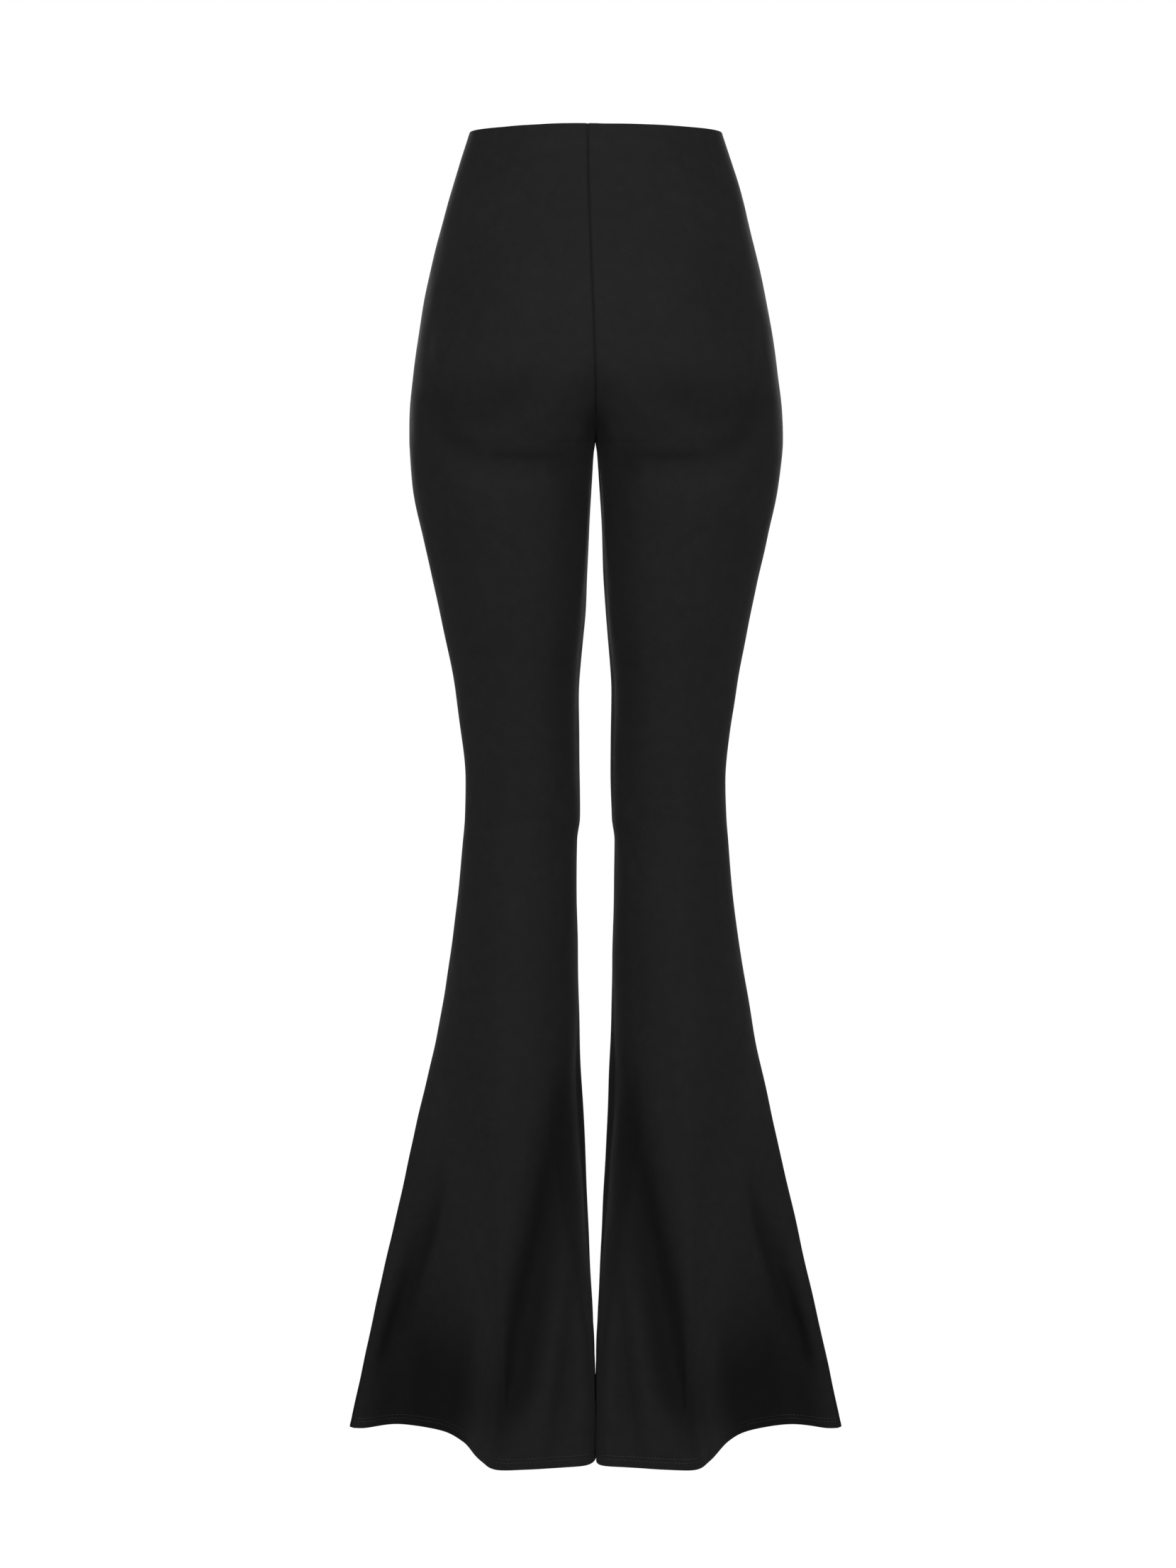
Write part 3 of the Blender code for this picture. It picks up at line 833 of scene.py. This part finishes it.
@dataclass(frozen=True)
class StretchCrepe:
    """Black stretch crepe jersey: a dull face with a fine knit, with shade painted into its colour in its
    folds, and darker beside its seams.
    """

    name: str = "black stretch crepe"
    colour: Triple = (0.0102, 0.0102, 0.0105)
    tone_spread: float = 0.45
    knit: KnitGrain = KnitGrain()
    wale: float = 0.00075
    pebble: float = 0.0011
    bump: float = 0.35
    bump_depth: float = 0.00025
    roughness: float = 0.74
    roughness_spread: float = 0.10
    diffuse_roughness: float = 1.0
    specular: float = 0.08
    sheen: float = 0.014
    sheen_roughness: float = 0.3
    fold_shade: float = 0.38
    seam_shade: float = 0.55
    seam_reach: float = 0.0016

    def material(self) -> bpy.types.Material:
        """Builds the material.

        Returns:
            A node material that reads the piece's UV map, in metres, and its place and painted-shade
            attributes.
        """
        material, nodes = new_material(self.name)
        uv = nodes.add("ShaderNodeUVMap", {})
        uv.uv_map = UV_NAME
        knit = self.knit.node(nodes, uv.outputs["UV"], self.wale, self.pebble).outputs
        place = nodes.add("ShaderNodeSeparateXYZ", {"Vector": nodes.attribute(PLACE_NAME, "Vector")})
        tone = nodes.between(knit["Tone"], 1.0 - self.tone_spread, 1.0 + self.tone_spread)
        seam = nodes.between(place.outputs["Z"], self.seam_shade, 1.0, full=self.seam_reach)
        # Painted shade: the cloth's colour is darkened where the painted-shade attribute is high, in folds,
        # in the flare's hollows and at the crotch.
        fold = nodes.between(nodes.attribute(PAINTED_SHADE_NAME, "Fac"), 1.0, self.fold_shade)
        shade = nodes.maths("MULTIPLY", tone, nodes.maths("MULTIPLY", fold, seam))
        smooth, rough = self.roughness - self.roughness_spread, self.roughness + self.roughness_spread
        bump = {"Strength": self.bump, "Distance": self.bump_depth, "Height": knit["Height"]}
        finish = {
            "Base Color": nodes.scaled(self.colour, shade),
            "Roughness": nodes.between(knit["Grain"], smooth, rough),
            "Diffuse Roughness": self.diffuse_roughness,
            "Specular IOR Level": self.specular,
            "Sheen Weight": self.sheen,
            "Sheen Roughness": self.sheen_roughness,
            "Sheen Tint": WHITE,
            "Normal": nodes.add("ShaderNodeBump", bump).outputs["Normal"],
        }
        nodes.fill(nodes.tree.nodes["Principled BSDF"], finish)
        return material


@dataclass(frozen=True)
class SewingThread:
    """Black polyester thread: a little smoother and brighter than the cloth, with a twist."""

    name: str = "black sewing thread"
    colour: Triple = (0.016, 0.016, 0.0165)
    tone_spread: float = 0.3
    knit: KnitGrain = KnitGrain()
    ply: float = 0.00045
    roughness: float = 0.48
    specular: float = 0.35

    def material(self) -> bpy.types.Material:
        """Builds the material.

        Returns:
            A node material with a fine grain on Object coordinates.
        """
        material, nodes = new_material(self.name)
        place = nodes.add("ShaderNodeTexCoord", {}).outputs["Object"]
        grain = self.knit.node(nodes, place, self.ply, self.ply).outputs["Grain"]
        tone = nodes.between(grain, 1.0 - self.tone_spread, 1.0 + self.tone_spread)
        finish = {
            "Base Color": nodes.scaled(self.colour, tone),
            "Roughness": self.roughness,
            "Specular IOR Level": self.specular,
        }
        nodes.fill(nodes.tree.nodes["Principled BSDF"], finish)
        return material


@dataclass
class CutPattern:
    """The pattern of a cut piece of the right half, in its worn form but without its folds."""

    face: Face
    shape: WornShape
    sewing: Sewing
    detail: float = 1.0
    columns: int = 92
    row_runs: tuple[RowRun, ...] = (
        RowRun(0.1600, 46),
        RowRun(0.2640, 60, 0.8),
        RowRun(0.3300, 34, 1.2),
        RowRun(0.6500, 78),
        RowRun(0.9500, 80),
        RowRun(1.1145, 52),
    )

    @cached_property
    def drops(self) -> np.ndarray:
        """The drops of all rows, crowded at the waist edge, at the hem and where a turning ends."""
        sewing, hem = self.sewing, self.shape.hem_drop
        turn, beside = sewing.waist_turn, sewing.turn_step
        drops = [*sewing.edge_steps, *sewing.waist_steps, turn - beside, turn, turn + beside]
        for run in self.row_runs:
            start, rows = drops[-1], math.ceil(run.rows * self.detail)
            steps = (np.arange(rows) + 1) / rows
            drops.extend(start + (run.end_drop - start) * steps**run.ease)
        turn = hem - sewing.hem_turn
        drops.extend([turn - beside, turn, turn + beside])
        for steps in (sewing.hem_steps, sewing.edge_steps):
            drops.extend(hem - step for step in reversed(steps))
        return np.array(drops)

    def row_places(self, length: float) -> np.ndarray:
        """Distances along a row, crowded at both seam edges."""
        steps = np.array(self.sewing.edge_steps)
        middle = np.linspace(steps[-1], length - steps[-1], math.ceil(self.columns * self.detail))[1:-1]
        return np.concatenate([steps, middle, (length - steps)[::-1]])

    @cached_property
    def sheet(self) -> Sheet:
        """The sheet of points and what its folds and the painted shade need to know of each."""
        shape, half = self.shape, self.sewing.seam_gap / 2
        rows = []
        for drop in self.drops:
            section = shape.section(drop)
            line = shape.piece_line(drop, self.face)
            whole = line_lengths(line)[-1]
            places = self.row_places(whole)
            ends = 1.0 if drop < shape.crotch_drop else 2.0
            x, y = points_at(line, half + places * (1.0 - ends * half / whole)).T
            gap = section.gap if drop >= shape.crotch_drop else 0.0
            level, width = np.full(len(x), -drop), np.full(len(x), section.outer - gap)
            across = (x - gap) / width
            aside = across - section.lobe
            aside = aside / np.where(aside > 0.0, 1.0 - section.lobe, section.lobe)
            full = np.sqrt((1.0 - aside**2).clip(0.0))
            # hollow: how far the form lies inside a round one; it sets the painted shade in the flare's
            # hollows.
            hollow = (full - np.abs(y - section.middle) / shape.reach(section, self.face)).clip(0.0)
            rows.append([x + half, y, level, places, whole - places, across, width, hollow])
        facts = np.array(rows).swapaxes(0, 1)
        return Sheet(np.stack(facts[:3], axis=-1), *facts[3:], hem_drop=shape.hem_drop)


@dataclass
class ClothPiece:
    """One cut piece of the trousers: its folded sheets, its shell and its finish."""

    pattern: CutPattern
    side: Side
    folds: ClothFolds
    cut: Cut
    pressed_this_way: bool

    @property
    def node(self) -> str:
        """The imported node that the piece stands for."""
        return f"{self.pattern.face.value}_{self.side.name.lower()}"

    @property
    def name(self) -> str:
        """The piece's own name."""
        return f"cloth_{self.node}"

    def normals(self, points: np.ndarray) -> np.ndarray:
        """The normals of a sheet of points, which lie in the middle plane beside a centre seam.

        Args:
            points: The points, rows by columns.

        Returns:
            Unit vectors, out of the trousers.
        """
        down, along = np.gradient(points, axis=0), np.gradient(points, axis=1)
        normals = np.cross(down, along)
        normals *= self.side.value * (-1.0 if self.pattern.face is Face.BACK else 1.0)
        normals /= np.linalg.norm(normals, axis=-1, keepdims=True)
        sheet, shape = self.pattern.sheet, self.pattern.shape
        above = smooth_step((shape.crotch_drop - sheet.drop) / shape.crotch_ease)
        beside = np.exp(-((sheet.from_inner / self.pattern.sewing.held_straight) ** 2))
        normals[..., 0] *= 1.0 - above * beside
        return normals / np.linalg.norm(normals, axis=-1, keepdims=True)

    def rounding(self, away: np.ndarray, radius: float) -> np.ndarray:
        """The share of its full thickness that a rounded edge has at this distance from its end."""
        return np.sqrt(1.0 - (1.0 - np.clip(away / radius, 0.0, 1.0)) ** 2)

    def pressed_in(self, points: np.ndarray) -> np.ndarray:
        """How far the cloth lies inside its plain form: its folds, seams and stitch marks.

        Args:
            points: The piece's points, rows by columns.

        Returns:
            The depth at each point.
        """
        sheet, sewing = self.pattern.sheet, self.pattern.sewing
        clear = smooth_step(sheet.from_seam / self.folds.clear_of_seam)
        pressed = clear * self.folds.depth_at(self.pattern.face, sheet)
        pressed -= self.folds.ripple_at(points)
        pressed += sewing.seam_roll * np.exp(-((sheet.from_seam / sewing.seam_roll_width) ** 2))
        if self.pressed_this_way:
            ridge = smooth_step(sheet.from_inner / (2 * sewing.seam_roll_width))
            ridge = ridge * (1.0 - smooth_step((sheet.from_inner - sewing.allowance) / sewing.allowance_fade))
            pressed -= sewing.allowance_rise * ridge
        turns = 2 * math.pi * sheet.from_side / sewing.stitch_pitch
        pull = 1.0 - sewing.stitch_pull + sewing.stitch_pull * np.cos(turns)
        for row in sewing.stitch_rows:
            nearness = np.exp(-(((sheet.from_hem - row) / sewing.stitch_dip_width) ** 2))
            pressed += sewing.stitch_dip * pull * nearness
        return pressed

    @cached_property
    def layers(self) -> tuple[np.ndarray, np.ndarray]:
        """The outer and the inner layer of points, rows by columns, which meet all round their edges."""
        sheet, sewing = self.pattern.sheet, self.pattern.sewing
        points = self.pattern.shape.settle(sheet.points * (self.side.value, 1.0, 1.0))
        doubled = (sheet.drop <= sewing.waist_turn) | (sheet.from_hem <= sewing.hem_turn)
        thickness = np.where(doubled, sewing.doubled, sewing.cloth)
        full = self.rounding(np.minimum(sheet.drop, sheet.from_hem), sewing.doubled / 2)
        outer = points - self.normals(points) * self.pressed_in(points)[..., None]
        normals = self.normals(outer)
        outer = outer - normals * (thickness / 2 * (1.0 - full))[..., None]
        wall = thickness * full * self.rounding(sheet.from_seam, sewing.seam_edge)
        return outer, outer - normals * wall[..., None]

    def build(self, materials: list[bpy.types.Material]) -> bpy.types.Object:
        """Builds the piece's closed shell.

        Args:
            materials: The finishes of the cloth's face and of its wrong side.

        Returns:
            The piece's object, in the scene.
        """
        sheet = self.pattern.sheet
        places = np.stack([sheet.from_side, sheet.drop, sheet.from_seam], axis=-1).reshape(-1, 3).tolist()
        pressed = self.folds.depth_at(self.pattern.face, sheet)
        # How much painted shade each point takes, stored on the mesh for the material.
        shares = self.folds.painted_shade_share(pressed, sheet).ravel().tolist()
        mesh = bmesh.new()
        place = mesh.verts.layers.float_vector.new(PLACE_NAME)
        # This layer holds the painted shade of each point.
        folded = mesh.verts.layers.float.new(PAINTED_SHADE_NAME)
        rows, columns = sheet.drop.shape
        for index, layer in enumerate(self.layers):
            grid = bmesh.ops.create_grid(mesh, x_segments=columns - 1, y_segments=rows - 1, size=1.0)["verts"]
            for vertex, point, facts, share in zip(grid, layer.reshape(-1, 3).tolist(), places, shares):
                vertex.co, vertex[place], vertex[folded] = point, facts, share
                for face in vertex.link_faces:
                    face.material_index = index
        rim = [vertex for vertex in mesh.verts if vertex.is_boundary]
        bmesh.ops.remove_doubles(mesh, verts=rim, dist=WELD)
        bmesh.ops.recalc_face_normals(mesh, faces=mesh.faces)
        piece = add_mesh(self.name, mesh, materials)
        self.map_cloth(piece.data)
        return piece

    def map_cloth(self, data: bpy.types.Mesh) -> None:
        """Gives the mesh a UV map in metres, along the piece and down it.

        Args:
            data: The mesh, with its place attribute.
        """
        places = np.empty(3 * len(data.vertices), dtype=np.float32)
        data.attributes[PLACE_NAME].data.foreach_get("vector", places)
        corners = np.empty(len(data.loops), dtype=np.int32)
        data.loops.foreach_get("vertex_index", corners)
        flat = places.reshape(-1, 3)[corners, :2]
        data.uv_layers.new(name=UV_NAME).data.foreach_set("uv", np.ascontiguousarray(flat).ravel())


@dataclass
class HemStitching:
    """Two rows of stitches that hold a piece's hem."""

    piece: ClothPiece
    sides: int = 6
    rings: int = 4

    @property
    def name(self) -> str:
        """The stitches' own name."""
        return f"hem_stitches_{self.piece.node}"

    def build(self, material: bpy.types.Material) -> bpy.types.Object:
        """Lays the stitches on the piece's outer sheet.

        Args:
            material: The thread's finish.

        Returns:
            The stitches as one object, in the scene.
        """
        pattern, sewing = self.piece.pattern, self.piece.pattern.sewing
        outer, _ = self.piece.layers
        normals = self.piece.normals(outer)
        mesh = bmesh.new()
        for row in sewing.stitch_rows:
            level = int(np.argmin(np.abs(pattern.drops - (pattern.shape.hem_drop - row))))
            line = outer[level]
            along = line_lengths(line)
            places = np.arange(sewing.stitch_pitch, along[-1] - sewing.stitch_pitch, sewing.stitch_pitch)
            middles = points_at(line, places)
            ahead = points_at(line, places + sewing.stitch_length / 4)
            facing = np.column_stack([np.interp(places, along, column) for column in normals[level].T])
            for middle, onward, out in zip(middles, ahead, facing):
                self.add_stitch(mesh, Vector(middle), Vector(onward - middle), Vector(out))
        return add_mesh(self.name, mesh, [material])

    def add_stitch(self, mesh: bmesh.types.BMesh, middle: Vector, along: Vector, out: Vector) -> None:
        """Adds one stitch.

        Args:
            mesh: The mesh that takes it.
            middle: The stitch's middle, on the cloth.
            along: Its direction.
            out: The cloth's normal there.
        """
        sewing = self.piece.pattern.sewing
        forward = along.normalized()
        up = (out - forward * out.dot(forward)).normalized()
        across = forward.cross(up)
        turn = Matrix((across, up, forward)).transposed().to_4x4()
        size = Matrix.Diagonal((sewing.thread_radius, sewing.thread_radius, sewing.stitch_length / 2, 1.0))
        place = Matrix.Translation(middle + up * sewing.thread_radius * sewing.thread_lift)
        bmesh.ops.create_uvsphere(
            mesh, u_segments=self.sides, v_segments=self.rings, radius=1.0, matrix=place @ turn @ size
        )


@dataclass(frozen=True)
class SoftBox:
    """A rectangular studio light."""

    name: str
    place: Triple
    aim: Triple
    width: float
    height: float
    watts: float
    spread: float

    def build(self) -> None:
        """Hangs the light and turns it to its aim."""
        data = bpy.data.lights.new(self.name, "AREA")
        data.shape = "RECTANGLE"
        data.size, data.size_y = self.width, self.height
        data.energy, data.spread = self.watts, math.radians(self.spread)
        light = add_object(self.name, data)
        light.location = self.place
        direction = Vector(self.aim) - Vector(self.place)
        light.rotation_euler = direction.to_track_quat("-Z", "Y").to_euler()


@dataclass(frozen=True)
class Studio:
    """A white sweep, with wide soft light from behind the camera, from overhead and on the far side."""

    floor_drop: float = 1.24
    floor_size: float = 60.0
    paper: tuple[float, float, float, float] = (0.8, 0.8, 0.8, 1.0)
    paper_roughness: float = 0.9
    camera_place: Triple = (-0.00652, -3.2, -0.25)
    camera_pitch: float = 5.544186
    camera_sight: float = 200.0
    lens: float = 85.094
    film: float = 36.0
    fill: float = 0.10
    white: float = 1.0
    lights: tuple[SoftBox, ...] = (
        SoftBox("key", (0.0, -3.6, 0.1), (0.0, 0.0, -0.15), 4.6, 1.0, 38.0, 80.0),
        SoftBox("overhead", (0.0, -1.5, 2.1), (0.0, 0.0, -0.15), 2.6, 0.8, 15.5, 100.0),
        SoftBox("far_side", (0.0, 3.1, 0.1), (0.0, 0.0, -0.35), 3.0, 1.2, 32.0, 110.0),
    )

    def build(self) -> None:
        """Sets up the world, the floor, the lights and the camera."""
        self.build_world()
        self.build_floor()
        for light in self.lights:
            light.build()
        self.build_camera()

    def show_white(self, nodes: ShaderTree, lit: bpy.types.Node, kind: str, output: str) -> None:
        """Lets the camera see plain white where light still comes from the shader given.

        Args:
            nodes: The shader tree.
            lit: The shader that lights the scene.
            kind: The node that makes the white.
            output: The name of the tree's last node.
        """
        white = nodes.add(kind, {"Color": WHITE, "Strength": self.white})
        seen = nodes.add("ShaderNodeLightPath", {}).outputs["Is Camera Ray"]
        mix = nodes.add("ShaderNodeMixShader", {"Fac": seen, 1: lit.outputs[0], 2: white.outputs[0]})
        nodes.fill(nodes.tree.nodes[output], {"Surface": mix.outputs["Shader"]})

    def build_world(self) -> None:
        """An even white room."""
        world = bpy.data.worlds.new("white room")
        world.use_nodes = True
        nodes = ShaderTree(world.node_tree)
        room = nodes.tree.nodes["Background"]
        nodes.fill(room, {"Color": WHITE, "Strength": self.fill})
        self.show_white(nodes, room, "ShaderNodeBackground", "World Output")
        bpy.context.scene.world = world

    def build_floor(self) -> None:
        """A wide pale floor some way below the hems, since the wearer holds the trousers up."""
        mesh = bmesh.new()
        bmesh.ops.create_grid(mesh, x_segments=1, y_segments=1, size=self.floor_size / 2)
        bmesh.ops.translate(mesh, verts=mesh.verts, vec=(0.0, 0.0, -self.floor_drop))
        sweep, nodes = new_material("white sweep")
        paper = nodes.tree.nodes["Principled BSDF"]
        nodes.fill(paper, {"Base Color": self.paper, "Roughness": self.paper_roughness})
        self.show_white(nodes, paper, "ShaderNodeEmission", "Material Output")
        add_mesh("floor", mesh, [sweep])

    def build_camera(self) -> None:
        """The photograph's camera, which looks slightly down at the trousers' back."""
        data = bpy.data.cameras.new("camera")
        data.sensor_fit = "VERTICAL"
        data.sensor_height = self.film
        data.lens = self.lens
        data.clip_end = self.camera_sight
        camera = add_object("camera", data)
        camera.location = self.camera_place
        camera.rotation_euler = (math.radians(90.0 - self.camera_pitch), 0.0, 0.0)
        bpy.context.scene.camera = camera


@dataclass(frozen=True)
class FlaredTrousers:
    """The whole garment: four cut pieces and the stitches of their hems."""

    shape: WornShape = WornShape()
    folds: ClothFolds = ClothFolds()
    sewing: Sewing = Sewing()
    crepe: StretchCrepe = StretchCrepe()
    wrong_side: StretchCrepe = StretchCrepe(
        name="wrong side of the crepe",
        colour=(0.0115, 0.0115, 0.012),
        roughness=0.82,
        sheen=0.1,
        seam_shade=1.0,
    )
    thread: SewingThread = SewingThread()
    back_cut: Cut = Cut(0.39, 1.25, 0.300)
    front_cut: Cut = Cut(0.38, 1.23, 0.285)
    quick_detail: float = 0.4

    def build(self) -> None:
        """Builds every piece and its hem stitches, hides the imported part it stands for, and reports their
        vertices.
        """
        cloths = [self.crepe.material(), self.wrong_side.material()]
        thread = self.thread.material()
        detail = 1.0
        for face, cut in ((Face.BACK, self.back_cut), (Face.FRONT, self.front_cut)):
            pattern = CutPattern(face, self.shape, self.sewing, detail)
            for side in Side:
                piece = ClothPiece(pattern, side, self.folds, cut, pressed_this_way=side is Side.RIGHT)
                cloth = piece.build(cloths)
                stitches = HemStitching(piece).build(thread)
                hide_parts(piece.node)
                for made in (cloth, stitches):
                    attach(made, BODY)
                    LOG.info("%s: %d vertices", made.name, len(made.data.vertices))


def main() -> None:
    """Loads the frame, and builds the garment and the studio."""
    logging.basicConfig(level=logging.INFO, format="%(name)s: %(message)s")
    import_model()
    FlaredTrousers().build()
    Studio().build()
    bpy.context.scene.view_settings.view_transform = "Standard"


if __name__ == "__main__":
    main()
